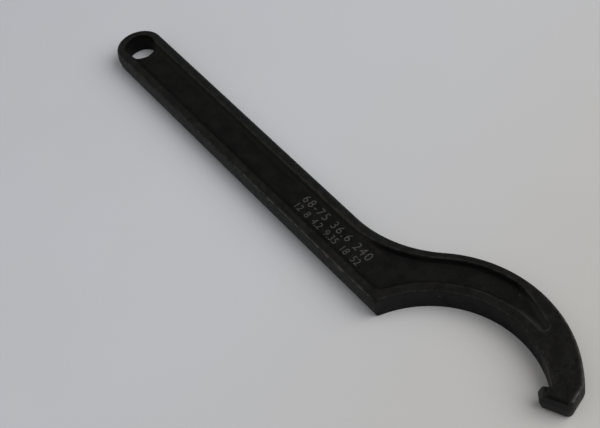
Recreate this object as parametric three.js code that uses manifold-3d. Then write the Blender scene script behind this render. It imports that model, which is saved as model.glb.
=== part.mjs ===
import * as THREE from "three";
import { mergeVertices } from "three/addons/utils/BufferGeometryUtils.js";
import Module from "manifold-3d";

// ---- Driving dimensions, mm and degrees ----
const overallLength = 240;      // handle end to the outermost point of the hook
const thickness = 8;            // over both rims
const endRadius = 9.75;         // half the handle width at the hanging hole
const heelHalfWidth = 9.1;      // half the handle width at the heel of the hook
const holeDiameter = 12;        // hanging hole
const gripRadius = 36.6;        // machined arc that sits on the nut
const gripDrop = 18;            // centre of the machined arc below the handle axis
const hookWidth = 9.35;         // back arc radius less grip radius
const backShiftX = -5.35;       // centre of the back arc, from the centre of the grip arc
const backShiftY = 4.75;
const filletRadius = 45.2;      // sweep from the handle into the back of the hook
const noseAngle = 52;           // where the machined arc stops and the nose begins
const noseLean = 12;            // drive face of the nose, turned off the radius
const noseHeight = 4.2;
const noseTipWidth = 3.1;
const noseRootRadius = 0.6;     // machined corner between the grip arc and the drive face
const endFaceAngle = 25;        // end face of the hook, from the handle axis
const webThickness = 4;
const innerRim = 3.6;           // rim between machined arc and recess
const backRim = 3;              // rim along the back of the hook
const runOutAngle = 82.5;       // where the recess runs out, about the grip centre
const edgeRound = 1.3;          // forged edge rounding
const sideDraft = 0.3;          // how far each side leans in from the parting plane
const wallDraft = 28;           // recess walls, off the vertical

// ---- Dependent sizes ----
const cutClearance = 1;         // tools reach this far past what they cut
const forgingAllowance = 2.2;   // metal left on the grip arc and nose before machining
const mergeClearance = 0.15;    // keeps the recess just inside the width of the hole
const holeRadius = holeDiameter / 2;
const handleRim = endRadius - holeRadius + mergeClearance;
const recessDepth = (thickness - webThickness) / 2;
const recessSlope = Math.tan(THREE.MathUtils.degToRad(wallDraft));
const backRadius = gripRadius + hookWidth;
const endCornerRadius = 2.1;
const endCutBack = 2.9;         // corner between end face and back, cut along the face
const endCutAlong = 8.3;        // the same cut along the back
const tipCrown = 1.35;          // tip of the nose falls back this far towards each face
const heelCornerRadius = 5;     // inside corner of the recess above the heel
const runOutRadius = 1.95;      // round end of the recess
const rad = THREE.MathUtils.degToRad;

// ---- Plan geometry, x from the heel, y from the handle axis ----
const vec = (x, y) => new THREE.Vector2(x, y);
const polar = (centre, radius, angle) =>
  vec(centre.x + radius * Math.cos(angle), centre.y + radius * Math.sin(angle));

function arc(centre, radius, from, to, steps) {
  return Array.from({ length: steps + 1 }, (_, i) =>
    polar(centre, radius, from + ((to - from) * i) / steps));
}

// Rounds the corner at b between a and c.
function roundCorner(a, b, c, radius, steps) {
  const toA = a.clone().sub(b).normalize();
  const toC = c.clone().sub(b).normalize();
  const half = Math.acos(toA.dot(toC)) / 2;
  const bisector = toA.clone().add(toC).normalize();
  const centre = b.clone().addScaledVector(bisector, radius / Math.sin(half));
  const start = b.clone().addScaledVector(toA, radius / Math.tan(half)).sub(centre);
  const end = b.clone().addScaledVector(toC, radius / Math.tan(half)).sub(centre);
  let turn = end.angle() - start.angle();
  if (turn > Math.PI) turn -= 2 * Math.PI;
  if (turn < -Math.PI) turn += 2 * Math.PI;
  return arc(centre, radius, start.angle(), start.angle() + turn, steps);
}

function lineMeetsCircle(point, direction, centre, radius, sign) {
  const gap = point.clone().sub(centre);
  const along = gap.dot(direction);
  const root = Math.sqrt(along * along - gap.lengthSq() + radius * radius);
  return point.clone().addScaledVector(direction, -along + sign * root);
}

const heel = vec(0, -heelHalfWidth);
const heelReach = Math.sqrt(gripRadius ** 2 - (gripDrop - heelHalfWidth) ** 2);
const gripCentre = vec(heelReach, -gripDrop);
const backCentre = vec(gripCentre.x + backShiftX, gripCentre.y + backShiftY);
const heelAngle = heel.clone().sub(gripCentre).angle();

// Nose: drive face from noseRoot to noseFront, tip to noseBack, then the end face.
const noseRoot = polar(gripCentre, gripRadius, rad(noseAngle));
const driveDirection = polar(vec(0, 0), 1, rad(noseAngle - noseLean) + Math.PI);
const tipDirection = polar(vec(0, 0), 1, rad(noseAngle - noseLean) - Math.PI / 2 + rad(12));
const endDirection = polar(vec(0, 0), 1, rad(endFaceAngle));
const noseFront = noseRoot.clone().addScaledVector(driveDirection, noseHeight);
const noseBack = noseFront.clone().addScaledVector(tipDirection, noseTipWidth);
const endCorner = lineMeetsCircle(noseBack, endDirection, backCentre, backRadius, 1);
const endFaceStop = endCorner.clone().addScaledVector(endDirection, -endCutBack);
const backStart = endCorner.clone().sub(backCentre).angle() + endCutAlong / backRadius;
const backFirst = polar(backCentre, backRadius, backStart);
const endRound = roundCorner(noseBack, endFaceStop, backFirst, endCornerRadius, 5);
const headLength = Math.max(...endRound.map((p) => p.x));

// Handle: two straight edges from the end round to the heel and to the fillet.
const holeToHeel = overallLength - endRadius - headLength;
const taper = Math.asin((endRadius - heelHalfWidth) / holeToHeel);
const holeCentre = vec(-holeToHeel, 0);
const upperNormal = vec(Math.sin(taper), Math.cos(taper));
const upperDirection = vec(Math.cos(taper), -Math.sin(taper));
const lowerNormal = vec(upperNormal.x, -upperNormal.y);
const lowerDirection = vec(upperDirection.x, -upperDirection.y);
const upperStart = holeCentre.clone().addScaledVector(upperNormal, endRadius);
const lowerStart = holeCentre.clone().addScaledVector(lowerNormal, endRadius);
const filletLine = upperStart.clone().addScaledVector(upperNormal, filletRadius);
const filletCentre = lineMeetsCircle(
  filletLine, upperDirection, backCentre, backRadius + filletRadius, -1);
const joinAngle = filletCentre.clone().sub(backCentre).angle();
const filletEnd = upperNormal.clone().negate().angle();

// Outline of the forging, counter-clockwise, each point with the kind of edge that follows.
function blankOutline() {
  const outline = [];
  const push = (points, kind) => points.forEach((p) => outline.push({ p, kind }));
  const blankRadius = gripRadius - forgingAllowance;
  const heelOver = lowerStart.clone().addScaledVector(lowerDirection, holeToHeel + 2);
  const tipFirst = noseFront.clone().addScaledVector(tipDirection, -forgingAllowance);
  const rootAngle = rad(noseAngle) + (forgingAllowance * 1.3) / gripRadius;
  push(arc(holeCentre, endRadius, Math.PI / 2 - taper, (3 * Math.PI) / 2 + taper, 22), "forged");
  push([heelOver], "forged");
  push(arc(gripCentre, blankRadius, heelAngle - rad(6), rootAngle, 16), "forged");
  push([tipFirst], "tip");
  push([noseBack], "forged");
  push(endRound, "forged");
  push(arc(backCentre, backRadius, backStart, joinAngle, 34), "forged");
  push(arc(filletCentre, filletRadius, joinAngle + Math.PI, filletEnd, 14).slice(1), "forged");
  return outline;
}

// Outline of the machining cut: the grip arc and the drive face of the nose.
function gripCutOutline() {
  const reach = noseHeight + 3;
  const past = noseRoot.clone().addScaledVector(driveDirection, reach);
  const [corner, ...sweep] = arc(gripCentre, gripRadius, rad(noseAngle), heelAngle + rad(8), 44);
  const root = roundCorner(past, corner, sweep[0], noseRootRadius, 3);
  return [gripCentre.clone(), past, ...root, ...sweep];
}

// Rim width along the back: even, then wider where the recess runs out.
function backBoundary(steps) {
  const stop = rad(runOutAngle);
  const target = polar(gripCentre, gripRadius + innerRim + 2 * runOutRadius, stop);
  const endAngle = target.clone().sub(backCentre).angle();
  const endRadial = target.distanceTo(backCentre);
  const plain = backRadius - backRim;
  return Array.from({ length: steps + 1 }, (_, i) => {
    const angle = endAngle + ((joinAngle - endAngle) * i) / steps;
    const u = Math.min((angle - endAngle) / rad(28), 1);
    const blend = u * u * (3 - 2 * u);
    return polar(backCentre, endRadial + (plain - endRadial) * blend, angle);
  });
}

// Outline of the recess where it meets the rim faces, counter-clockwise.
function recessOutline() {
  const offset = endRadius - handleRim;
  const lowerAt = holeCentre.clone().addScaledVector(lowerNormal, offset);
  const upperAt = holeCentre.clone().addScaledVector(upperNormal, offset);
  const start = 1;
  const innerRadius = gripRadius + innerRim;
  const inward = lowerAt.clone().addScaledVector(lowerNormal, -heelCornerRadius);
  const turnCentre = lineMeetsCircle(
    inward, lowerDirection, gripCentre, innerRadius + heelCornerRadius, -1);
  const turnAngle = turnCentre.clone().sub(gripCentre).angle();
  const turnStart = lowerNormal.angle() - 2 * Math.PI;
  const turn = arc(turnCentre, heelCornerRadius, turnStart, turnAngle - Math.PI, 7);
  const stop = rad(runOutAngle);
  const capCentre = polar(gripCentre, innerRadius + runOutRadius, stop);
  const cap = arc(capCentre, runOutRadius, stop - Math.PI, stop, 8).slice(1, -1);
  const inner = arc(gripCentre, innerRadius, turnAngle, stop, 26).slice(1);
  const sweep = arc(filletCentre, filletRadius + backRim, joinAngle + Math.PI, filletEnd, 12);
  const joined = sweep.slice(1).map((p, i) => {
    const widen = ((handleRim - backRim) * (i + 1)) / 12;
    const outward = p.clone().sub(filletCentre).normalize();
    return p.addScaledVector(outward, widen);
  });
  return [
    upperAt.addScaledVector(upperDirection, start),
    lowerAt.addScaledVector(lowerDirection, start),
    ...turn, ...inner, ...cap, ...backBoundary(26), ...joined,
  ];
}

// ---- Solids from rings ----
// Moves every edge of a ring inwards by its own amount and returns the new corners.
function insetRing(points, amounts) {
  const count = points.length;
  return points.map((p, i) => {
    const before = points[(i + count - 1) % count];
    const after = points[(i + 1) % count];
    const n1 = vec(-(p.y - before.y), p.x - before.x).normalize();
    const n2 = vec(-(after.y - p.y), after.x - p.x).normalize();
    const d1 = amounts[(i + count - 1) % count];
    const d2 = amounts[i];
    const cross = n1.x * n2.y - n1.y * n2.x;
    if (Math.abs(cross) < 0.02) {
      return p.clone().addScaledVector(n1, d1 / 2).addScaledVector(n2, d2 / 2);
    }
    return vec(p.x + (d1 * n2.y - d2 * n1.y) / cross, p.y + (d2 * n1.x - d1 * n2.x) / cross);
  });
}

// Closed solid through rings of equal length, lowest first.
function loft(rings) {
  const count = rings[0].points.length;
  const positions = rings.flatMap((r) => r.points.flatMap((p) => [p.x, p.y, r.z]));
  const index = [];
  const top = (rings.length - 1) * count;
  for (const [a, b, c] of THREE.ShapeUtils.triangulateShape(rings[0].points, [])) {
    index.push(c, b, a);
  }
  for (const [a, b, c] of THREE.ShapeUtils.triangulateShape(rings.at(-1).points, [])) {
    index.push(top + a, top + b, top + c);
  }
  for (let k = 0; k < rings.length - 1; k += 1) {
    for (let i = 0; i < count; i += 1) {
      const j = (i + 1) % count;
      const low = k * count;
      const high = low + count;
      index.push(low + i, low + j, high + j, low + i, high + j, high + i);
    }
  }
  return { positions, index };
}

const wasm = await Module();
wasm.setup();

function solid({ positions, index }) {
  const mesh = new wasm.Mesh({
    numProp: 3,
    vertProperties: new Float32Array(positions),
    triVerts: new Uint32Array(index),
  });
  return new wasm.Manifold(mesh);
}

function prism(points, bottom, top) {
  return solid(loft([{ points, z: bottom }, { points, z: top }]));
}

// The forging as struck: sides lean in from the parting plane and round over at each face.
function forgingBlank() {
  const outline = blankOutline();
  const points = outline.map((o) => o.p);
  const middle = thickness / 2;
  const quarter = edgeRound * (1 - Math.SQRT1_2);
  const levels = [
    [0, sideDraft + edgeRound, tipCrown + edgeRound / 3],
    [quarter, sideDraft + quarter, tipCrown - quarter / 3],
    [edgeRound, sideDraft, tipCrown * 0.55],
    [middle - 0.4, 0, 0],
  ];
  const upper = levels.map(([z, forged, tip]) => [thickness - z, forged, tip]).reverse();
  const rings = [...levels, ...upper].map(([z, forged, tip]) => ({
    z,
    points: insetRing(points, outline.map((o) => (o.kind === "tip" ? tip : forged))),
  }));
  return solid(loft(rings));
}

// Recess tool for one side, with drafted walls.
function recessTool(side) {
  const points = recessOutline();
  const even = (amount) => insetRing(points, points.map(() => amount));
  const floor = even(recessDepth * recessSlope);
  const mouth = even(-cutClearance * recessSlope);
  if (side > 0) {
    const floorLevel = thickness - recessDepth;
    const outside = thickness + cutClearance;
    return solid(loft([{ points: floor, z: floorLevel }, { points: mouth, z: outside }]));
  }
  return solid(loft([{ points: mouth, z: -cutClearance }, { points: floor, z: recessDepth }]));
}

function buildForging() {
  const hole = arc(holeCentre, holeRadius, 0, 2 * Math.PI, 40).slice(0, -1);
  return forgingBlank()
    .subtract(prism(gripCutOutline(), -cutClearance, thickness + cutClearance))
    .subtract(recessTool(1))
    .subtract(recessTool(-1))
    .subtract(prism(hole, -cutClearance, thickness + cutClearance));
}

function toGeometry(body) {
  const mesh = body.getMesh();
  const geometry = new THREE.BufferGeometry();
  geometry.setAttribute("position", new THREE.BufferAttribute(mesh.vertProperties, 3));
  geometry.setIndex(new THREE.BufferAttribute(mesh.triVerts, 1));
  return mergeVertices(geometry, 1e-4);
}

// The frame's origin sits under the middle of the tool's bounding box.
function centreOnFrame(geometry) {
  geometry.computeBoundingBox();
  const { min, max } = geometry.boundingBox;
  geometry.translate(-(min.x + max.x) / 2, -(min.y + max.y) / 2, -min.z);
  geometry.computeVertexNormals();
  return geometry;
}

const blackenedSteel = new THREE.MeshStandardMaterial({
  color: 0x2b2b2c,
  roughness: 0.5,
  metalness: 0.55,
});

const spanner = new THREE.Group();
spanner.name = "hook_spanner";
const forging = new THREE.Mesh(centreOnFrame(toGeometry(buildForging())), blackenedSteel);
forging.name = "spanner_forging";
spanner.add(forging);

export default spanner;
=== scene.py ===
import bmesh
import bpy
import numpy as np
from mathutils import Matrix, Vector


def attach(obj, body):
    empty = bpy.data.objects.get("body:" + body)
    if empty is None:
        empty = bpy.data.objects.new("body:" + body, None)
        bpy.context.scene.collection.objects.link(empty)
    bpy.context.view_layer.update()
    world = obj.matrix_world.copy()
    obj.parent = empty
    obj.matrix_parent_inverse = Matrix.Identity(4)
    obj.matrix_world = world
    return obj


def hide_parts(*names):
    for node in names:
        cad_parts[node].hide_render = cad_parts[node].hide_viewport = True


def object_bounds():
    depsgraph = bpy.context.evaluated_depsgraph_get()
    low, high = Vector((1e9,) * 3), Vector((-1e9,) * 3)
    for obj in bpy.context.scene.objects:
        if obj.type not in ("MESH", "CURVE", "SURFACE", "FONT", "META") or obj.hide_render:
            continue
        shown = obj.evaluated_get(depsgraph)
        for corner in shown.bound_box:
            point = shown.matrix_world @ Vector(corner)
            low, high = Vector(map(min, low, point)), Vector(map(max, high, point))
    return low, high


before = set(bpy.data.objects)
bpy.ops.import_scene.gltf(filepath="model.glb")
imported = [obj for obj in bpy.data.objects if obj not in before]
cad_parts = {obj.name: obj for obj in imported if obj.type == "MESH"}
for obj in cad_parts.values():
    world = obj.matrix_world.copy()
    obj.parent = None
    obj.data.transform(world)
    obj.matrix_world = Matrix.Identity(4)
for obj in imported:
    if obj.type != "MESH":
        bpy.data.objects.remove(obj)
cad_low, cad_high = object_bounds()

rad = np.radians

# ---- Sizes of the forging, mm and degrees ----
MM = 0.001
overall_length = 240.0
thickness = 8.0
end_radius = 9.75
heel_half_width = 9.1
hole_radius = 6.0
grip_radius = 36.6
grip_drop = 18.0
hook_width = 9.35
back_shift = np.array([-5.35, 4.75])  # from the centre of the grip arc to that of the hook's back
fillet_radius = 45.2             # of the sweep between handle and hook
nose_angle = 52.0
nose_lean = 12.0                 # undercut of the drive face
tip_turn = 12.0
nose_height = 4.2
nose_tip_width = 3.1
nose_root_radius = 0.6
past_root_angle = 2.5
end_face_angle = 25.0
end_face_middle = 4.5
web_thickness = 4.0
inner_rim = 3.6                  # widths of the rims round the recess
back_rim = 3.0
run_out_angle = 82.5             # the recess ends here, in a round end
run_out_radius = 1.95
run_out_spread = 28.0
heel_corner_radius = 5.0
end_corner_radius = 2.1
end_cut_back = 2.9
end_cut_along = 8.3
edge_round = 1.3
side_draft = 0.3
wall_draft = 28.0
machined_edge = 0.18
hole_edge = 0.45
handle_rim = 3.9
shallow_from = 112.0             # the recess rises from this bearing
shallow_to = 84.0                # to this one,
shallow_share = 0.5              # and loses this share of its depth
arris_width = 0.5
wall_root_width = 1.1
weld_step = 1e-4

half = thickness / 2
recess_depth = (thickness - web_thickness) / 2
wall_run = recess_depth * np.tan(rad(wall_draft))
back_radius = grip_radius + hook_width
inner_radius = grip_radius + inner_rim


# ---- Plan geometry, x from the heel, y from the handle axis ----
def direction(angle):
    """Unit vectors at these angles."""
    return np.stack([np.cos(angle), np.sin(angle)], -1)


def bearing(vector):
    """Angle of a vector, from 0 to a full turn."""
    return np.arctan2(vector[1], vector[0]) % (2 * np.pi)


def arc(centre, radius, start, end, u):
    """Points at a radius about a centre. The angle goes evenly from start to end as u goes from 0
    to 1."""
    return centre + radius * direction(start + (end - start) * u)


def straight(a, b, u):
    """Points from a to b, even in u."""
    return a + (b - a) * u[:, None]


def signed(angle):
    """The same bearing between minus and plus half a turn."""
    return (angle + np.pi) % (2 * np.pi) - np.pi


def ease_in_out(x):
    """Three x squared less two x cubed: level at nought and at one."""
    return x**2 * (3 - 2 * x)


def meet(point, along, centre, radius, side):
    """Where a line meets a circle: the foot of the centre on the line, moved by half the chord."""
    gap = point - centre
    foot = gap @ along
    return point + along * (-foot + side * np.sqrt(foot**2 - gap @ gap + radius**2))


def rounding(a, b, c, radius):
    """The circle that rounds the corner b between a and c, as its centre, first and last angle. Its
    centre is on the line that halves the corner."""
    to_a = (a - b) / np.linalg.norm(a - b)
    to_c = (c - b) / np.linalg.norm(c - b)
    turn = np.arccos(to_a @ to_c) / 2
    middle = (to_a + to_c) / np.linalg.norm(to_a + to_c)
    centre = b + middle * radius / np.sin(turn)
    first = bearing(b + to_a * radius / np.tan(turn) - centre)
    last = bearing(b + to_c * radius / np.tan(turn) - centre)
    return centre, first, first + signed(last - first)


heel = np.array([0.0, -heel_half_width])
grip_centre = np.array([np.sqrt(grip_radius**2 - (grip_drop - heel_half_width) ** 2), -grip_drop])
back_centre = grip_centre + back_shift
heel_angle = bearing(heel - grip_centre)
nose_root = grip_centre + grip_radius * direction(rad(nose_angle))
drive_along = direction(rad(nose_angle - nose_lean) + np.pi)
tip_along = direction(rad(nose_angle - nose_lean + tip_turn) - np.pi / 2)
end_along = direction(rad(end_face_angle))
nose_front = nose_root + nose_height * drive_along
nose_back = nose_front + nose_tip_width * tip_along
end_corner = meet(nose_back, end_along, back_centre, back_radius, 1)
end_stop = end_corner - end_cut_back * end_along
back_start = signed(bearing(end_corner - back_centre) + end_cut_along / back_radius)
back_first = back_centre + back_radius * direction(back_start)
end_round = rounding(nose_back, end_stop, back_first, end_corner_radius)
past_root = grip_centre + grip_radius * direction(rad(nose_angle + past_root_angle))
root_round = rounding(nose_front, nose_root, past_root, nose_root_radius)
round_steps = np.linspace(0, 1, 90)[:, None]
head_length = arc(end_round[0], end_corner_radius, *end_round[1:], round_steps)[:, 0].max()
hole_to_heel = overall_length - end_radius - head_length
hole_centre = np.array([-hole_to_heel, 0.0])
taper = np.arcsin((end_radius - heel_half_width) / hole_to_heel)

upper_normal = np.array([np.sin(taper), np.cos(taper)])
upper_along = np.array([np.cos(taper), -np.sin(taper)])
lower_normal = upper_normal * [1, -1]
lower_along = upper_along * [1, -1]
upper_start = hole_centre + upper_normal * end_radius
lower_start = hole_centre + lower_normal * end_radius
fillet_centre = meet(upper_start + upper_normal * fillet_radius, upper_along,
                     back_centre, back_radius + fillet_radius, -1)
join_angle = bearing(fillet_centre - back_centre)
fillet_end = bearing(-upper_normal)


def recess_back(u):
    """Back of the recess as u goes from the run-out (0) to the fillet (1): an arc about the back
    centre whose radius eases out over the first degrees, so that the rim is widest at the run-out."""
    stop = rad(run_out_angle)
    target = grip_centre + (inner_radius + 2 * run_out_radius) * direction(stop) - back_centre
    first = bearing(target)
    angle = first + (join_angle - first) * u
    ease = ease_in_out(np.clip((angle - first) / rad(run_out_spread), 0, 1))
    near = np.linalg.norm(target)
    radius = near + (back_radius - back_rim - near) * ease
    return back_centre + radius[:, None] * direction(angle)


def recess_outline():
    """Outline of the recess at the rim, counter-clockwise: two straight sides, the turn above the
    heel, the inner arc, the round run-out, the back and the sweep up to the handle."""
    offset = end_radius - handle_rim
    lower_at = hole_centre + lower_normal * offset
    upper_at = hole_centre + upper_normal * offset
    turn_centre = meet(lower_at - lower_normal * heel_corner_radius, lower_along, grip_centre,
                       inner_radius + heel_corner_radius, -1)
    turn_angle = bearing(turn_centre - grip_centre)
    stop = rad(run_out_angle)
    cap_centre = grip_centre + (inner_radius + run_out_radius) * direction(stop)
    steps = np.linspace(0, 1, 25)
    widen = steps[1:, None] * (handle_rim - back_rim)
    outward = direction(join_angle + np.pi + (fillet_end - join_angle - np.pi) * steps[1:])
    turn_start = bearing(lower_normal) - 2 * np.pi
    return np.concatenate([
        [upper_at + upper_along, lower_at + lower_along],
        arc(turn_centre, heel_corner_radius, turn_start, turn_angle - np.pi, steps),
        arc(grip_centre, inner_radius, turn_angle, stop, np.linspace(0, 1, 49)[1:]),
        arc(cap_centre, run_out_radius, stop - np.pi, stop, steps[1:-1]),
        recess_back(np.linspace(0, 1, 45)),
        fillet_centre + (fillet_radius + back_rim + widen) * outward,
    ])


recess = recess_outline()


def inside(points, outline):
    """Distance from each point to the nearest side of a closed outline, positive inside and negative
    outside. The foot of the point on every side is held to that side, and the sign comes from how
    many sides a level line from the point crosses."""
    side = np.roll(outline, -1, 0) - outline
    result = []
    for some in np.array_split(points.reshape(-1, 2), 1 + points.size // 20000):
        gap = some[:, None] - outline
        foot = np.clip((gap * side).sum(-1) / (side**2).sum(-1), 0, 1)
        near = np.sqrt(((gap - foot[..., None] * side) ** 2).sum(-1).min(1))
        span = (gap[..., 1] < 0) != (gap[..., 1] - side[:, 1] < 0)
        level = np.where(side[:, 1] == 0, 1, side[:, 1])
        left = gap[..., 0] < gap[..., 1] * side[:, 0] / level
        result.append(np.where((span & left).sum(1) % 2 == 1, near, -near))
    return np.concatenate(result).reshape(points.shape[:-1])


# ---- Stations: matched points along the lower edge, the spine and the upper edge ----
END_ROUND = 20                   # far half of the ring round the hanging hole
BESIDE_HOLE = 20                 # near half of it
HANDLE = 170
TO_HEEL = 60
TO_FAN = 70
TO_RUN_OUT = 64
PAST_RUN_OUT = 64
TO_NOSE = 38
TO_ROOT = 7
ROOT_ROUND = 6
DRIVE_FACE = 12
NOSE_TIP = 12
END_FACE_LOWER = 14
LAST_OF_BACK = 17
END_CUT = 14
END_CORNER = 9
END_FACE_UPPER = 11
ROUND_HOLE = END_ROUND + BESIDE_HOLE + 1

throat = (fillet_centre + fillet_radius * direction(fillet_end))[0]
fan_angle = rad(125)             # from here on the stations stand square to the machined arc
cap_rays = rad(np.array([92.0, 76.0]))  # either side of the recess's round end
last_ray = rad(56)
end_middle = nose_back + end_face_middle * end_along
spine_stop = 3.5                 # how far short of the end face the spine stops
spine_end = end_middle + spine_stop * direction(rad(end_face_angle) + np.pi / 2)
fillet_length = fillet_radius * (join_angle + np.pi - fillet_end)
heel_sweep = 19.0                # length along the sweep that faces the heel
throat_reach = 20.0              # how far the spine leaves the handle before it turns
fan_reach = 11.0
heel_share = 0.46                # share of the throat's spine that faces the heel
root_share = 0.45                # shares of the spine's last piece that face the nose root
drive_share = 0.9                # and the start of the drive face
end_round_stop = end_round[0] + end_corner_radius * direction(end_round[2])
spine_bearings = rad(np.array([50.0, 56, 70, 82.5, 90, 100, 110, 125]))
spine_distances = np.array([41.5, 41.55, 41.9, 42.15, 42.5, 43.3, 44.2, 45.0])


def ray_to_back(angle, radius):
    """Distance from the grip centre, along rays at these angles, to a circle about the back centre:
    the positive root of the quadratic that says the point is a radius from that centre."""
    shift = grip_centre - back_centre
    reach = direction(angle) @ shift
    return -reach + np.sqrt(reach**2 - shift @ shift + radius**2)


def spine_radius(angle):
    """Distance of the spine from the grip centre: midway between the rims, then the middle of the
    round run-out."""
    return np.interp(angle, spine_bearings, spine_distances)


def spine_in_head(u, first, last):
    """The spine along rays from the grip centre, as u goes from 0 to 1."""
    angle = first + (last - first) * u
    return grip_centre + spine_radius(angle)[:, None] * direction(angle)


def spine_in_throat(u):
    """Cubic curve on four points, each weighted by a product of powers of u and of one less u. It
    leaves the handle axis level and meets the head's spine square to its ray."""
    start = np.array([throat, 0.0])
    stop = grip_centre + spine_radius(fan_angle) * direction(fan_angle)
    after = start + [throat_reach, 0.0]
    before = stop - fan_reach * direction(fan_angle - np.pi / 2)
    v = u[:, None]
    ends = (1 - v) ** 3 * start + 3 * v * (1 - v) ** 2 * after
    return ends + 3 * v**2 * (1 - v) * before + v**3 * stop


def upper_sweep(length, forged):
    """Upper edge by length from the throat, moved inwards: round the fillet, then round the back."""
    turn = fillet_end + length / fillet_radius
    fall = join_angle - (length - fillet_length) / back_radius
    on_fillet = fillet_centre + (fillet_radius + forged) * direction(turn)
    on_back = back_centre + (back_radius - forged) * direction(fall)
    return np.where((length < fillet_length)[:, None], on_fillet, on_back)


def back_bearing(angle):
    """Bearing from the back centre of the point where a ray from the grip centre meets the back."""
    return bearing(grip_centre + ray_to_back(angle, back_radius) * direction(angle) - back_centre)


def run(*parts):
    """Joins curves end to end. Each is a count and a function of u, sampled without its last point."""
    points = [curve(np.arange(count) / count) for count, curve in parts]
    points.append(parts[-1][1](np.array([1.0])))
    return np.concatenate(points)


def shifted(point, along, amount):
    """A point of a straight side moved inwards, which is to the left of the side's direction."""
    return point + amount * np.array([-along[1], along[0]])


def cross_point(p, d, q, e):
    """Where the line through p along d meets the line through q along e: p moved along d by a ratio
    of two cross products."""
    gap = q - p
    return p + d * (gap[0] * e[1] - gap[1] * e[0]) / (d[0] * e[1] - d[1] * e[0])


def edge_at(start, along, x):
    """Point of a straight edge at this x."""
    return start + along * (x - start[0]) / along[0]


def lower_run(forged, machined, tip):
    """The lower edge, from the far side of the hanging hole to the middle of the end face, with each
    kind of side moved inwards by its own lean. Corners are where the moved sides meet, so nothing
    folds over."""
    line = shifted(lower_start, lower_along, forged)
    past_hole = line + lower_along * beside_hole(np.ones(1))[0]
    at_throat = edge_at(line, lower_along, throat)
    grip = grip_radius + machined
    corner = meet(line, lower_along, grip_centre, grip, -1)
    first = bearing(corner - grip_centre)
    drive = shifted(nose_front, drive_along, machined)
    tip_side = shifted(nose_front, tip_along, tip)
    end_side = shifted(nose_back, end_along, forged)
    front = cross_point(drive, drive_along, tip_side, tip_along)
    back = cross_point(tip_side, tip_along, end_side, end_along)
    root = nose_root_radius + machined
    root_in, root_out = (root_round[0] + root * direction(root_round[k]) for k in (2, 1))
    root_bearing = bearing(root_in - grip_centre)
    return run(
        (END_ROUND, lambda u: arc(hole_centre, end_radius - forged, np.pi, 1.5 * np.pi + taper, u)),
        (BESIDE_HOLE, lambda u: line + lower_along * beside_hole(u)),
        (HANDLE, lambda u: straight(past_hole, at_throat, u)),
        (TO_HEEL, lambda u: straight(at_throat, corner, u)),
        (TO_FAN, lambda u: arc(grip_centre, grip, first, fan_angle, u)),
        (TO_RUN_OUT, lambda u: arc(grip_centre, grip, fan_angle, cap_rays[0], u)),
        (PAST_RUN_OUT, lambda u: arc(grip_centre, grip, cap_rays[0], cap_rays[1], u)),
        (TO_NOSE, lambda u: arc(grip_centre, grip, cap_rays[1], last_ray, u)),
        (TO_ROOT, lambda u: arc(grip_centre, grip, last_ray, root_bearing, u)),
        (ROOT_ROUND, lambda u: arc(root_round[0], root, root_round[2], root_round[1], u)),
        (DRIVE_FACE, lambda u: straight(root_out, front, u)),
        (NOSE_TIP, lambda u: straight(front, back, u)),
        (END_FACE_LOWER, lambda u: straight(back, shifted(end_middle, end_along, forged), u)),
    )


def upper_run(forged):
    """The upper edge, from the far side of the hanging hole to the middle of the end face, moved
    inwards."""
    line = shifted(upper_start, -upper_along, forged)
    past_hole = line + upper_along * beside_hole(np.ones(1))[0]
    radius = back_radius - forged
    small = end_corner_radius - forged
    corner_in, corner_out = (end_round[0] + small * direction(end_round[k]) for k in (2, 1))
    cut_along = (back_first - end_round_stop) / np.linalg.norm(back_first - end_round_stop)
    cut = shifted(back_first, cut_along, forged)
    cut_end = meet(cut, cut_along, back_centre, radius, 1)
    stop = signed(bearing(cut_end - back_centre))
    sweep_all = fillet_length + back_radius * (join_angle - back_bearing(fan_angle))
    rays = [signed(back_bearing(angle)) for angle in (fan_angle, *cap_rays, last_ray)]
    return run(
        (END_ROUND, lambda u: arc(hole_centre, end_radius - forged, np.pi, np.pi / 2 - taper, u)),
        (BESIDE_HOLE, lambda u: line + upper_along * beside_hole(u)),
        (HANDLE, lambda u: straight(past_hole, edge_at(line, upper_along, throat), u)),
        (TO_HEEL, lambda u: upper_sweep(heel_sweep * u, forged)),
        (TO_FAN, lambda u: upper_sweep(heel_sweep + (sweep_all - heel_sweep) * u, forged)),
        (TO_RUN_OUT, lambda u: arc(back_centre, radius, rays[0], rays[1], u)),
        (PAST_RUN_OUT, lambda u: arc(back_centre, radius, rays[1], rays[2], u)),
        (TO_NOSE, lambda u: arc(back_centre, radius, rays[2], rays[3], u)),
        (LAST_OF_BACK, lambda u: arc(back_centre, radius, rays[3], stop, u)),
        (END_CUT, lambda u: straight(cut_end, corner_in, u)),
        (END_CORNER, lambda u: arc(end_round[0], small, end_round[2], end_round[1], u)),
        (END_FACE_UPPER, lambda u: straight(corner_out, shifted(end_middle, end_along, forged), u)),
    )


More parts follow.
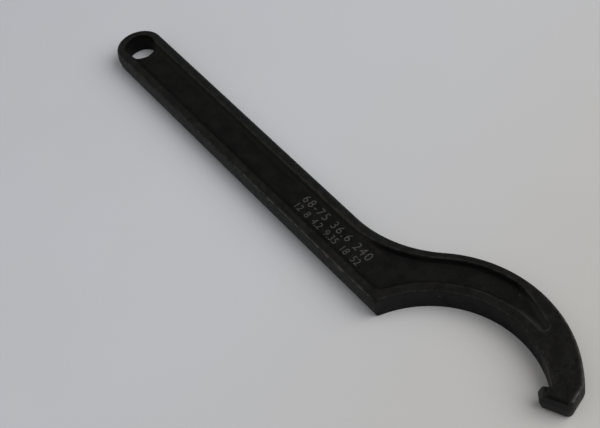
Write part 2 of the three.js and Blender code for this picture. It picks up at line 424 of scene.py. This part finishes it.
def spine_run(side):
    """The spine of the lower (-1) or upper (1) half: round the hanging hole, along the handle axis,
    up the throat and round the hook. The two halves share it past the hole."""
    quarter = np.pi / 2
    near_angle = side * (quarter - taper)
    far_angle = np.pi - side * (quarter + taper)
    hole_near_side = hole_centre + [hole_radius, 0.0]
    last = spine_in_head(np.ones(1), cap_rays[1], last_ray)[0]
    return run(
        (END_ROUND, lambda u: arc(hole_centre, hole_radius, np.pi, far_angle, u)),
        (BESIDE_HOLE, lambda u: hole_centre + hole_radius * direction(near_angle * (1 - u))),
        (HANDLE, lambda u: straight(hole_near_side, np.array([throat, 0.0]), u)),
        (TO_HEEL, lambda u: spine_in_throat(heel_share * u)),
        (TO_FAN, lambda u: spine_in_throat(heel_share + (1 - heel_share) * u)),
        (TO_RUN_OUT, lambda u: spine_in_head(u, fan_angle, cap_rays[0])),
        (PAST_RUN_OUT, lambda u: spine_in_head(u, cap_rays[0], cap_rays[1])),
        (TO_NOSE, lambda u: spine_in_head(u, cap_rays[1], last_ray)),
        (TO_ROOT, lambda u: straight(last, spine_end, root_share * u)),
        (ROOT_ROUND, lambda u: straight(last, spine_end, root_share + (drive_share - root_share) * u)),
        (DRIVE_FACE, lambda u: straight(last, spine_end, drive_share + (1 - drive_share) * u)),
        (NOSE_TIP + END_FACE_LOWER, lambda u: straight(spine_end, spine_end, u)),
    )


def beside_hole(u):
    """Distances along an edge, level with even steps round the near quarter of the hanging hole."""
    return hole_radius * np.cos(np.pi / 2 + (taper - np.pi / 2) * u)[:, None]


# ---- Levels from the parting plane up to the rim, and how far each kind of edge leans in ----
round_angles = rad([15, 30, 45, 60, 75, 90])
round_levels = thickness - edge_round * (1 - np.sin(round_angles))
round_lean = side_draft + edge_round * (1 - np.cos(round_angles))
levels = np.concatenate([[half, 4.4, 5.2, 6.0, thickness - edge_round], round_levels])
forged_lean = np.concatenate([[0, 0, 0.104, 0.209, side_draft], round_lean])
machined_lean = np.interp(levels, [7.85, 7.96, thickness], [0, 0.05, machined_edge])
tip_lean = np.interp(levels, [4.4, 6.7, 7.62, thickness], [0, 0.74, 1.22, 1.78])


def smooth_step_up(x, width):
    """Nought below the bend, x above it, and a parabola over the width of the bend between them."""
    bend = (x + width / 2) ** 2 / (2 * width)
    return np.where(x < -width / 2, 0, np.where(x > width / 2, x, bend))


def top_level(points):
    """Height of the top face: the rim level, less the recess, whose drafted wall has a soft arris
    above and a larger radius below, less the rounded edge of the hanging hole."""
    into = inside(points, recess)
    slope = recess_depth / wall_run
    wall = smooth_step_up(into, arris_width) - smooth_step_up(into - wall_run, wall_root_width)
    off_grip = points - grip_centre
    turn = np.unwrap(np.arctan2(off_grip[..., 1], off_grip[..., 0]), axis=-1)
    near_end = (rad(shallow_from) - turn) / rad(shallow_from - shallow_to)
    drop = slope * wall * (1 - shallow_share * ease_in_out(np.clip(near_end, 0, 1)))
    past_hole = np.linalg.norm(points - hole_centre, axis=-1) - hole_radius
    lip = np.clip(hole_edge - past_hole, 0, hole_edge)
    drop = drop + hole_edge - np.sqrt(np.maximum(hole_edge**2 - lip**2, 0))
    return thickness - drop


# ---- Columns along each station line: rim, arris and wall in mm from the recess outline, floor ----
first_entry = ROUND_HOLE - 8     # the recess is looked for between these stations
last_entry = ROUND_HOLE + HANDLE + TO_HEEL + TO_FAN + TO_RUN_OUT + 24
line_points = 61                 # on each station line, to find where it enters the recess
squeeze_width = 0.75             # room kept between the squeezed columns and the spine
squeeze_power = 1.2
short_station = 2.5              # stations shorter than this have less room
hole_wall_rows = 6
rim_share = np.array([0.25, 0.5, 0.75])
arris_steps = np.array([-0.3, -0.15, 0, 0.15, 0.3, 0.48, 0.68, 0.9, 1.15, 1.45, 1.75])
floor_share = np.array([0.2, 0.4, 0.6, 0.8])


def crossing(edge, spine):
    """Distance from the edge at which each station line enters the recess. Stations that don't reach
    it take the value of the nearest one that does."""
    share = np.linspace(0, 1, line_points)
    length = np.linalg.norm(spine - edge, axis=1)
    depth = inside(edge[:, None] + (spine - edge)[:, None] * share[:, None], recess)
    enters = (depth[:, 1:] > 0) & (depth[:, :-1] <= 0)
    k = enters.argmax(1)
    rows = np.arange(len(edge))
    step = -depth[rows, k] / (depth[rows, k + 1] - depth[rows, k] + 1e-12)
    where = (share[k] + step * share[1]) * length
    good = np.flatnonzero(enters.any(1) & (rows > first_entry) & (rows < last_entry))
    return np.interp(rows, good, where[good])


def half_sheet(rings, spine):
    """One half of the top, from the parting plane to the spine, as stations by columns: the levels of
    the outer wall and its rounded edge, then along each station line the rim, the arris and wall, and
    the floor. Columns that would pass the spine are squeezed in front of it."""
    edge = rings[-1]
    length = np.linalg.norm(spine - edge, axis=1)[:, None]
    enter = crossing(edge, spine)[:, None]
    columns = enter + arris_steps
    final = columns[:, -1:]
    columns = np.concatenate([columns, final + np.maximum(length - final, 0) * floor_share], 1)
    count = columns.shape[1]
    squeeze = squeeze_width * (1 - np.arange(count) / count) ** squeeze_power
    columns = np.minimum(columns, length - squeeze * np.minimum(1, length / short_station))
    columns = np.concatenate([columns[:, :1] * rim_share, columns, length], 1)
    flat = edge[:, None] + (spine - edge)[:, None] * (columns / length)[..., None]
    flat[:, -1] = spine
    top = np.concatenate([flat, top_level(flat)[..., None]], 2)
    wall = [np.column_stack([ring, np.full(len(ring), z)]) for ring, z in zip(rings, levels)]
    return np.concatenate([np.stack(wall, 1), top], 1)


def grid_faces(rows, columns):
    """Quads of a grid of points stored row by row."""
    corner = (np.arange(rows - 1)[:, None] * columns + np.arange(columns - 1)).ravel()
    return np.stack([corner, corner + 1, corner + columns + 1, corner + columns], 1)


def weld(sheets):
    """Joins grids that share borders. Points that agree become one, and a quad that loses a side
    becomes a triangle."""
    points = np.concatenate([s.reshape(-1, 3) for s in sheets])
    starts = np.cumsum([0] + [s.shape[0] * s.shape[1] for s in sheets[:-1]])
    faces = np.concatenate([grid_faces(*s.shape[:2]) + start for s, start in zip(sheets, starts)])
    _, first, back = np.unique(np.round(points / weld_step).astype(np.int64), axis=0,
                               return_index=True, return_inverse=True)
    faces = back.reshape(-1)[faces]
    same = faces == np.roll(faces, -1, 1)
    quads = faces[~same.any(1)]
    single = faces[same.sum(1) == 1]
    keep = ~same[same.sum(1) == 1]
    triangles = single[keep].reshape(-1, 3)
    return points[first], quads.tolist() + triangles.tolist()


def forging_sheets():
    """The whole surface: lower and upper half of the top, the wall of the hanging hole, and their
    mirror images below the parting plane."""
    leans = list(zip(forged_lean, machined_lean, tip_lean))
    lower = half_sheet([lower_run(*lean) for lean in leans], spine_run(-1))
    upper = half_sheet([upper_run(lean[0]) for lean in leans], spine_run(1))
    sheets = [lower, upper]
    for sheet in (lower, upper):
        rim = sheet[:ROUND_HOLE, -1]
        wall = np.repeat(rim[:, None], hole_wall_rows, 1)
        wall[..., 2] = rim[:, 2:] + (half - rim[:, 2:]) * np.linspace(0, 1, hole_wall_rows)
        sheets.append(wall)
    mirrored = [np.stack([s[..., 0], s[..., 1], thickness - s[..., 2]], -1) for s in sheets]
    return sheets + mirrored


def to_row_frame(points):
    """From heel millimetres to the row frame's metres."""
    outline = np.concatenate([lower_run(0, 0, 0), upper_run(0)])
    high = np.array([cad_high.x, cad_high.y]) / MM - outline.max(0)
    return (points + [high[0], high[1], 0]) * MM


def bump_at(x, middle, reach):
    """One at the middle, falling smoothly to nought about a reach away."""
    return np.exp(-(((x - middle) / reach) ** 2))


def between(x, low, high, ease):
    """One from low to high, easing to nought over the last stretch outside them."""
    return np.clip((x - low) / ease + 1, 0, 1) * np.clip((high - x) / ease + 1, 0, 1)


def off_line(flat, start, along):
    """Distance of each point from a straight side, and how far along the side it is."""
    gap = flat - start
    return np.abs(gap @ np.array([-along[1], along[0]])), gap @ along


def surface_masks(points):
    """How much of each finish, and of the painted light and shade, is at each point, by its place. Each
    mask is a product of soft bands: across an edge in mm from it, along the tool in mm from the
    heel, and up in mm from the parting plane."""
    flat = points[:, :2]
    x, y = flat.T
    into = inside(flat, recess)
    height = np.abs(points[:, 2] - half)
    from_grip = np.abs(np.linalg.norm(flat - grip_centre, axis=1) - grip_radius)
    off_back = np.abs(np.linalg.norm(flat - back_centre, axis=1) - back_radius)
    from_hole = np.linalg.norm(flat - hole_centre, axis=1)
    turn = np.arctan2(y - grip_centre[1], x - grip_centre[0])
    off_drive, along_drive = off_line(flat, nose_root, drive_along)
    off_tip, along_tip = off_line(flat, nose_front, tip_along)
    off_end, along_end = off_line(flat, nose_back, end_along)

    on_arc = (turn > rad(nose_angle) - 0.02) & (turn < signed(heel_angle) + 0.01)
    on_drive = (off_drive < 0.1) & (along_drive > -0.5) & (along_drive < nose_height + 0.1)
    machined = ((from_grip < 0.1) & on_arc | on_drive) & (height < half - 0.02)
    on_rim = (into < -0.7) * ~machined * (from_hole > hole_radius + 1)
    on_recess = (height < half - 0.02)
    above_axis = (y > -3) * on_recess
    at_end = (off_end < 1.6) * between(along_end, low=0, high=9.0, ease=1.0)
    lower_side = (y < -3) * between(x, low=-200, high=-4, ease=4)
    near_heel = lower_side * between(x, low=-66, high=0, ease=25)
    on_hook = between(x, low=38, high=70, ease=10) * (into < -2) * (turn < 1.6)
    in_dark_bend = between(x, low=-14, high=24, ease=9)
    # Painted shade: darker along the lower rim's recess arris and at the root of its wall
    lower_recess_shade = (0.7 * bump_at(into, 1.6, 0.7) + bump_at(into, 0.1, 0.45)) * lower_side
    # rim_line: a dark line on the lower rim near the heel
    rim_line = 0.7 * bump_at(y, -7.3, 0.2) * between(x, low=-57, high=-3, ease=3)
    # Painted shade on the far wall of the recess in the bend
    bend_far_wall_shade = bump_at(into, 0.9, 1.0) * above_axis * in_dark_bend
    on_strip = on_arc * between(turn, low=0, high=rad(nose_angle + 15), ease=rad(4))
    on_tip = between(along_tip, low=-0.3, high=nose_tip_width + 0.3, ease=0.3)
    return {
        "into": np.clip(into, -3, 3),
        "machined": machined.astype(float),
        # bend: band on the outer edge's round that carries the painted highlight and the rust
        "bend": bump_at(height, 3.35, 0.33) * on_rim,
        # edge: painted highlight along the top of the outer edge's round, with rubbed wear there too
        "edge": bump_at(height, 3.62, 0.17) * on_rim * (1 - at_end),
        "stain": bump_at(y, 5.8, 0.4) * between(x, low=-57, high=-16, ease=6),
        "cool": bump_at(y, 8.4, 1.0) * between(x, low=-200, high=-8, ease=8) * (height > 2),
        "wear": np.clip(0.4 + 0.6 * (near_heel + on_hook), 0, 1),
        # arris: painted highlight along the recess's arris, away from the lower side
        "arris": bump_at(into, 0.0, 0.22) * (height > 3.0) * (1 - lower_side),
        # Painted shade in the recess, with the dark line on the lower rim
        "painted_shade_and_rim_line": lower_recess_shade + rim_line + bend_far_wall_shade,
        # far_wall: where the painted sheen goes on the recess's far wall, outside the bend
        "far_wall": bump_at(into, 0.6, 0.8) * above_axis * (1 - in_dark_bend),
        # Painted shade: a near-black band along the top edge of the end face
        "end_edge_shade": bump_at(height, 3.5, 0.6) * (off_end < 1.9)
        * between(along_end, low=3.0, high=8.2, ease=1.2),
        "end_face": (off_end < 0.95) * (height < 2.9)
        * between(along_end, low=-0.5, high=9.5, ease=0.5),
        "strip": (from_grip < 0.15) * on_strip * (height < 3.95),
        "tip_bevel": (off_tip < 2.0) * on_tip * (height > 2.4) * (height < 3.97),
        "hook_rub": bump_at(height, 3.25, 0.5) * (off_back < 1.5)
        * between(x, low=40, high=70, ease=10) * (into < -1),
        "grip_arris": bump_at(from_grip, 0.1, 0.14) * on_arc * (height > half - 0.06),
        # bore: the hole's wall, which takes painted shade, near black
        "bore": (from_hole < hole_radius + 0.1).astype(float),
    }


def build_forging():
    """The welded sheets as one mesh, with the masks of the finishes and of the painted light and shade
    as attributes, faces outwards, and shading that is smooth except across edges sharper than 40
    degrees."""
    points, faces = weld(forging_sheets())
    mesh = bpy.data.meshes.new("forging")
    mesh.from_pydata(to_row_frame(points), [], faces)
    for name, values in surface_masks(points).items():
        mesh.attributes.new(name, "FLOAT", "POINT").data.foreach_set("value", values.astype(np.float32))
    work = bmesh.new()
    work.from_mesh(mesh)
    bmesh.ops.recalc_face_normals(work, faces=work.faces)
    work.to_mesh(mesh)
    work.free()
    mesh.shade_smooth()
    mesh.set_sharp_from_angle(angle=rad(40))
    forging = bpy.data.objects.new("forging", mesh)
    bpy.context.scene.collection.objects.link(forging)
    return forging


# ---- Camera ----
camera_aim = Vector((2.30, -13.04, 0.0)) * MM
camera_distance = 377.8 * MM
camera_azimuth, camera_elevation, camera_roll = rad(63.85), rad(48.69), rad(-12.97)
camera_lens = 64.8
sensor_width = 36.0


def make_camera():
    """A camera that looks at its aim from an azimuth and an elevation, then rolled about its axis."""
    data = bpy.data.cameras.new("camera")
    data.lens = camera_lens
    data.sensor_width = sensor_width
    data.clip_start = 0.01
    camera = bpy.data.objects.new("camera", data)
    bpy.context.scene.collection.objects.link(camera)
    ca, sa = np.cos(camera_azimuth), np.sin(camera_azimuth)
    ce, se = np.cos(camera_elevation), np.sin(camera_elevation)
    right = Vector((ca, sa, 0))
    back = Vector((sa * ce, -ca * ce, se))
    up = back.cross(right)
    cr, sr = np.cos(camera_roll), np.sin(camera_roll)
    turned_right = right * cr + up * sr
    turned_up = up * cr - right * sr
    place = camera_aim + back * camera_distance
    camera.matrix_world = Matrix((
        (turned_right.x, turned_up.x, back.x, place.x),
        (turned_right.y, turned_up.y, back.y, place.y),
        (turned_right.z, turned_up.z, back.z, place.z),
        (0, 0, 0, 1)))
    bpy.context.scene.camera = camera


make_camera()


class Finish:
    """A material's node tree, with short calls for the few kinds of node that the finishes use."""

    def __init__(self, name, **shader):
        self.material = bpy.data.materials.new(name)
        self.material.use_nodes = True
        self.tree = self.material.node_tree
        self.shader = self.tree.nodes["Principled BSDF"]
        for socket, value in shader.items():
            self.shader.inputs[socket.replace("_", " ")].default_value = value
        self.place = self.node("ShaderNodeTexCoord").outputs["Object"]

    def node(self, kind, inputs=(), **settings):
        """A new node of this kind, with its settings, and its inputs filled."""
        made = self.tree.nodes.new(kind)
        for name, value in settings.items():
            setattr(made, name, value)
        for key, value in dict(inputs).items():
            self.fill(made.inputs[key], value)
        return made

    def fill(self, socket, value):
        """Links another node's output to the socket, or sets the socket to a plain value."""
        if isinstance(value, bpy.types.NodeSocket):
            self.tree.links.new(value, socket)
        else:
            socket.default_value = value

    def mask(self, name):
        """An attribute of the mesh."""
        return self.node("ShaderNodeAttribute", attribute_name=name).outputs["Fac"]

    def stretched(self, scale):
        """The place on the object in mm, stretched by a scale along each axis."""
        scale = [s / MM for s in scale]
        return self.node("ShaderNodeMapping", {"Vector": self.place, "Scale": scale}).outputs["Vector"]

    def grain(self, size, detail=3.0, roughness=0.55, place=None, offset=0.0):
        """Noise whose features are about this many mm across."""
        place = place or self.stretched([1 / size] * 3)
        inputs = {"Vector": place, "W": offset, "Scale": 1.0, "Detail": detail, "Roughness": roughness}
        return self.node("ShaderNodeTexNoise", inputs, noise_dimensions="4D").outputs["Fac"]

    def spots(self, size, offset=0.0):
        """Distance to the nearest of a scatter of points about this many mm apart."""
        inputs = {"Vector": self.stretched([1 / size] * 3), "W": offset, "Scale": 1.0}
        return self.node("ShaderNodeTexVoronoi", inputs, voronoi_dimensions="4D").outputs["Distance"]

    def ramp(self, value, low, high, to_low=0.0, to_high=1.0):
        """Value carried from the range low..high to to_low..to_high, eased and held at both ends."""
        inputs = {"Value": value, "From Min": low, "From Max": high}
        inputs.update({"To Min": to_low, "To Max": to_high})
        ranged = self.node("ShaderNodeMapRange", inputs, interpolation_type="SMOOTHSTEP")
        return ranged.outputs["Result"]

    def patchy(self, size, low, high, offset, detail=4.0, least=0.0):
        """Noise carried to the range from the least amount to one, so that a mark comes in patches."""
        return self.ramp(self.grain(size, detail=detail, offset=offset), low, high, least, 1.0)

    def maths(self, operation, a, b=0.0):
        """One step of arithmetic on two values."""
        return self.node("ShaderNodeMath", {0: a, 1: b}, operation=operation).outputs[0]

    def times(self, *values):
        """Product of the values."""
        result = values[0]
        for value in values[1:]:
            result = self.maths("MULTIPLY", result, value)
        return result

    def plus(self, *values):
        """Sum of the values."""
        result = values[0]
        for value in values[1:]:
            result = self.maths("ADD", result, value)
        return result

    def blend(self, amount, a, b):
        """Colour a, going over to colour b by the amount."""
        inputs = {0: amount, 6: self.colour(a), 7: self.colour(b)}
        return self.node("ShaderNodeMix", inputs, data_type="RGBA").outputs[2]

    def colour(self, value):
        """A plain colour with its alpha added, or a colour socket as it is."""
        return value if isinstance(value, bpy.types.NodeSocket) else (*value, 1.0)

    def finish(self, colour=None, roughness=None, height=None):
        """Plugs colour, roughness and height in mm into the shader."""
        if colour is not None:
            self.fill(self.shader.inputs["Base Color"], self.colour(colour))
        if roughness is not None:
            self.fill(self.shader.inputs["Roughness"], roughness)
        if height is not None:
            bump = self.node("ShaderNodeBump", {"Height": height, "Distance": MM, "Strength": 1.0})
            self.fill(self.shader.inputs["Normal"], bump.outputs["Normal"])
        return self.material


# ---- Colours: the dark and the light end of a mottle, or the one colour of a mark ----
# The rim colours are lighter than the web's: painted light on the rims and painted shade in the recess
WEB_DARK, WEB_LIGHT = (0.0040, 0.0040, 0.0035), (0.0086, 0.0084, 0.0070)
RIM_DARK, RIM_LIGHT = (0.0066, 0.0067, 0.0062), (0.0165, 0.0160, 0.0134)
HEAD_WEB_DARK, HEAD_WEB_LIGHT = (0.0036, 0.0036, 0.0027), (0.0086, 0.0082, 0.0058)
HEAD_RIM_DARK, HEAD_RIM_LIGHT = (0.0040, 0.0038, 0.0027), (0.0114, 0.0107, 0.0074)
STEEL_DARK, STEEL_LIGHT = (0.0018, 0.0020, 0.0024), (0.0046, 0.0048, 0.0054)
ETCHED_DARK, ETCHED_LIGHT = (0.030, 0.029, 0.026), (0.088, 0.085, 0.077)
# The warm colour is painted shade towards the near right of the table
TABLE_COOL, TABLE_WARM_SHADE = (0.765, 0.775, 0.815), (0.675, 0.645, 0.595)
TABLE_CLOUD = (0.74, 0.735, 0.735)
GREEN_PATCH = (0.0074, 0.0092, 0.0060)
FINE_SPECK = (0.0024, 0.0024, 0.0024)
# Painted sheen on the recess's far wall
WALL_SHEEN = (0.0270, 0.0268, 0.0225)
PIT_BLACK = (0.0012, 0.0012, 0.0012)
# Near black for painted shade in the recess, the bore and the end face's top edge, and for the dark
# line on the lower rim
SHADE_AND_LINE_BLACK = (0.0012, 0.0012, 0.0011)
COOL_RIM = (0.0095, 0.0122, 0.0128)
STAIN_BROWN = (0.034, 0.026, 0.020)
# Painted highlight on the rounded outer edges
BEND_HIGHLIGHT_GREY = (0.0150, 0.0168, 0.0172)
# Painted highlight on the outer edges, mixed with rubbed wear
RUBBED_EDGE_AND_HIGHLIGHT = (0.120, 0.116, 0.104)
# Painted highlight on the recess's arris, in rubbed patches
ARRIS_HIGHLIGHT_AND_RUB = (0.058, 0.056, 0.047)
RUBBED_HOOK = (0.050, 0.044, 0.043)
RUST_TAN = (0.150, 0.092, 0.066)
NICKED = (0.052, 0.050, 0.046)
END_GREY = (0.0150, 0.0142, 0.0155)
STRIP_GREY = (0.0270, 0.0250, 0.0205)
TIP_GREY = (0.0150, 0.0215, 0.0190)
DUST = (0.17, 0.16, 0.135)


def black_oxide():
    """Blackened drop forging: mottled black oxide over forge scale, pitted between the recess and the
    nose, with fine cutter lines on the machined faces and a little dust. Light and shade are painted
    in too: the rims painted lighter than the web, painted highlights on the bends and arrises mixed
    with rubbed wear, a painted sheen on the far wall of the recess, and painted shade, near black,
    in the bore, in the recess and along the end face's top edge, with a dark line on the lower rim.
    Each mark is laid over the ones before it, by its mask times its share."""
    f = Finish("black_oxide", IOR=1.25, Specular_IOR_Level=0.42)
    machined, bend, into, wear = (f.mask(name) for name in ("machined", "bend", "into", "wear"))
    x = f.node("ShaderNodeSeparateXYZ", {"Vector": f.place}).outputs["X"]
    forged = f.maths("SUBTRACT", 1.0, machined)
    in_head = f.ramp(x, 0.040, 0.062)  # metres along the tool from its middle
    hook_end = f.ramp(x, 0.080, 0.096)
    off_recess = f.ramp(into, -0.3, -1.2)
    cloud = f.grain(4.0, detail=6.0, roughness=0.6)
    patch = f.grain(20.0, detail=2.0, offset=3.0)
    fine = f.grain(0.45, detail=4.0, offset=7.0)
    scale = f.grain(1.5, detail=5.0, roughness=0.62, offset=11.0)
    mottle = f.ramp(cloud, 0.36, 0.66)
    brushed = f.patchy(2.0, 0.35, 0.65, detail=5.0, offset=31.0)

    web = f.blend(in_head, f.blend(mottle, WEB_DARK, WEB_LIGHT),
                  f.blend(mottle, HEAD_WEB_DARK, HEAD_WEB_LIGHT))
    rim = f.blend(in_head, f.blend(mottle, RIM_DARK, RIM_LIGHT),
                  f.blend(mottle, HEAD_RIM_DARK, HEAD_RIM_LIGHT))
    steel = f.blend(brushed, STEEL_DARK, STEEL_LIGHT)

    pits = f.times(f.ramp(scale, 0.46, 0.60), f.ramp(cloud, 0.36, 0.54), hook_end, off_recess, forged)
    stain = f.times(f.mask("stain"), f.patchy(3.0, 0.40, 0.60, detail=3.0, offset=51.0, least=0.2))
    # Painted highlight on the outer edges, in patches of rubbed wear
    edge = f.times(f.mask("edge"), wear, f.patchy(2.6, 0.38, 0.60, offset=5.0, least=0.25))
    # Keeps rust off the painted shade along the end face's top edge
    off_end = f.maths("SUBTRACT", 1.0, f.mask("end_edge_shade"))
    on_rim = f.ramp(into, -1.0, -1.6)
    rust = f.times(on_rim, forged, wear, bend, off_end, f.patchy(2.8, 0.54, 0.64, offset=17.0))
    # Painted highlight along the recess's arris, in patches
    arris = f.times(f.mask("arris"), f.patchy(3.0, 0.38, 0.62, detail=3.0, offset=9.0, least=0.25))
    nicks = f.times(f.mask("grip_arris"), f.patchy(1.1, 0.45, 0.62, detail=3.0, offset=13.0, least=0.2))
    hook_rub = f.times(f.mask("hook_rub"), f.patchy(2.2, 0.35, 0.60, offset=41.0, least=0.35))
    # Painted shade in the bore and along the end face's top edge
    bore_and_end_shade = f.maths("MAXIMUM", f.mask("bore"), f.mask("end_edge_shade"))
    # Painted shade, near black, with the dark line on the lower rim
    near_black_shade_and_line = f.maths("MAXIMUM", f.mask("painted_shade_and_rim_line"), bore_and_end_shade)
    dust = f.times(f.ramp(f.spots(3.0, 2.0), 0.10, 0.04), f.ramp(f.grain(9.0, offset=21.0), 0.46, 0.55))

    # Painted light and shade: the rims take the lighter rim colours and the recess the darker web
    # colours
    colour = f.blend(f.ramp(into, 0.2, -0.25), web, rim)
    colour = f.blend(f.ramp(patch, 0.50, 0.68, 0, 0.55), colour, GREEN_PATCH)
    colour = f.blend(f.ramp(fine, 0.42, 0.75, 0, 0.45), colour, FINE_SPECK)
    for mark, share, tint in (
        # Painted sheen on the recess's far wall
        (f.mask("far_wall"), 0.8, WALL_SHEEN),
        (pits, 0.85, PIT_BLACK),
        (f.mask("cool"), 0.6, COOL_RIM),
        (stain, 0.7, STAIN_BROWN),
        # Painted highlight on the rounded outer edges
        (bend, 0.6, BEND_HIGHLIGHT_GREY),
        (edge, 0.85, RUBBED_EDGE_AND_HIGHLIGHT),
        (rust, 0.8, RUST_TAN),
        (arris, 0.7, ARRIS_HIGHLIGHT_AND_RUB),
        (machined, 0.85, steel),
        (nicks, 0.6, NICKED),
        (f.mask("end_face"), 0.8, END_GREY),
        (f.mask("strip"), 0.8, STRIP_GREY),
        (f.mask("tip_bevel"), 0.8, TIP_GREY),
        (hook_rub, 0.8, RUBBED_HOOK),
        # Painted shade, near black, with the dark line on the lower rim
        (near_black_shade_and_line, 0.85, SHADE_AND_LINE_BLACK),
        (dust, 0.75, DUST),
    ):
        colour = f.blend(f.times(mark, share), colour, tint)

    cutter = f.grain(1.0, detail=2.0, place=f.stretched([2.4, 2.4, 0.06]))
    roughness = f.plus(0.42, f.ramp(cloud, 0.3, 0.7, 0.0, 0.14), f.ramp(fine, 0.3, 0.7, -0.04, 0.06))
    scale_relief = f.plus(f.times(fine, 0.07), f.times(scale, 0.16), f.times(cloud, 0.18))
    relief = f.times(scale_relief, f.ramp(machined, 0.0, 1.0, 1.0, 0.2))
    height = f.plus(relief, f.times(pits, -0.06), f.times(machined, cutter, 0.04), f.times(dust, 0.03))
    return f.finish(colour, roughness, height)


def etched_grey():
    """Pale marking burnt into the oxide: speckled where the scale shows through."""
    f = Finish("etched_grey", Specular_IOR_Level=0.26)
    speckle = f.grain(0.4, detail=3.0)
    colour = f.blend(f.ramp(speckle, 0.36, 0.6), ETCHED_DARK, ETCHED_LIGHT)
    return f.finish(colour, 0.65, f.times(speckle, 0.02))


def table_top():
    """Pale matt table with painted shade: a little warmer and duller towards the near right."""
    f = Finish("table_top", Specular_IOR_Level=0.2)
    near_right = (0.946, 0.325, 0)
    across = f.node("ShaderNodeVectorMath", {0: f.place, 1: near_right}, operation="DOT_PRODUCT")
    # Painted shade: the table darkens and warms towards the near right
    near_right_shade = f.ramp(across.outputs["Value"], -0.05, 0.17)
    cloudy = f.ramp(f.grain(60.0, detail=2.0), 0.3, 0.7, 0, 0.3)
    colour = f.blend(cloudy, f.blend(near_right_shade, TABLE_COOL, TABLE_WARM_SHADE), TABLE_CLOUD)
    return f.finish(colour, 0.75, f.times(f.grain(0.8), 0.02))


def make_floor():
    """A square table top, level with the underside of the tool."""
    reach = 4.0
    corners = [(-reach, -reach, 0), (reach, -reach, 0), (reach, reach, 0), (-reach, reach, 0)]
    mesh = bpy.data.meshes.new("floor")
    mesh.from_pydata(corners, [], [(0, 1, 2, 3)])
    mesh.materials.append(table_top())
    floor = bpy.data.objects.new("floor", mesh)
    bpy.context.scene.collection.objects.link(floor)


def make_light(name, width, power, place, colour):
    """A square area light that faces the origin."""
    data = bpy.data.lights.new(name, "AREA")
    data.shape = "SQUARE"
    data.size = width
    data.energy = power
    data.color = colour
    light = bpy.data.objects.new(name, data)
    bpy.context.scene.collection.objects.link(light)
    light.location = place
    light.rotation_euler = (-Vector(place)).to_track_quat("-Z", "Y").to_euler()


def make_world():
    """Dim, slightly blue light from all round."""
    world = bpy.data.worlds.new("room")
    world.use_nodes = True
    background = world.node_tree.nodes["Background"]
    background.inputs["Color"].default_value = (0.95, 0.97, 1.0, 1)
    background.inputs["Strength"].default_value = 0.18
    bpy.context.scene.world = world


figure_share = 0.69              # height of a figure as a share of the type size
mark_half_depth = 0.012
mark_lift = 0.006                # the middle of the mark's depth above the web
mark_weld = 1e-4
mark_left = 2.0


def build_mark(name, text, base, height, length):
    """One row of figures, etched on the web: set as a curve and spaced to the row's length, made a
    mesh, and laid a hair above the web."""
    data = bpy.data.curves.new(name, "FONT")
    data.body = text
    data.size = height / figure_share
    data.extrude = mark_half_depth
    letters = bpy.data.objects.new(name + "_curve", data)
    bpy.context.scene.collection.objects.link(letters)
    bpy.context.view_layer.update()
    data.space_character = length / letters.dimensions.x
    bpy.context.view_layer.update()
    spaced = letters.evaluated_get(bpy.context.evaluated_depsgraph_get())
    mesh = bpy.data.meshes.new_from_object(spaced)
    bpy.data.objects.remove(letters)
    level = thickness - recess_depth + mark_lift
    place = Matrix.Translation((mark_left * MM, base * MM, level * MM))
    work = bmesh.new()
    work.from_mesh(mesh)
    bmesh.ops.remove_doubles(work, verts=work.verts, dist=mark_weld)
    bmesh.ops.recalc_face_normals(work, faces=work.faces)
    bmesh.ops.transform(work, matrix=place @ Matrix.Scale(MM, 4), verts=work.verts)
    work.to_mesh(mesh)
    work.free()
    mark = bpy.data.objects.new(name, mesh)
    mesh.materials.clear()
    bpy.context.scene.collection.objects.link(mark)
    return mark


make_floor()
make_world()
make_light("window", width=1.7, power=20, place=(0.75, 0.9, 1.2), colour=(1, 0.995, 0.98))
make_light("ceiling", width=2.4, power=5.5, place=(0.1, -0.6, 1.7), colour=(0.95, 0.97, 1.0))
bpy.context.scene.view_settings.view_transform = "Standard"

forging = build_forging()
forging.data.materials.append(black_oxide())
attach(forging, "root")
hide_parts("spanner_forging")

# Name, figures, base line from the handle axis, height of the figures and length of the row, in mm
mark_rows = (
    ("size_mark", "68-75 36.6 240", 0.35, 3.3, 36.0),
    ("gauge_mark", "12  8  4.2  9.35  18  52", -3.5, 2.7, 35.0),
)
etched = etched_grey()
axis_y = to_row_frame(np.zeros((1, 3)))[0, 1] / MM
for name, text, base, height, length in mark_rows:
    mark = build_mark(name, text, axis_y + base, height, length)
    mark.data.materials.append(etched)
    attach(mark, "root")
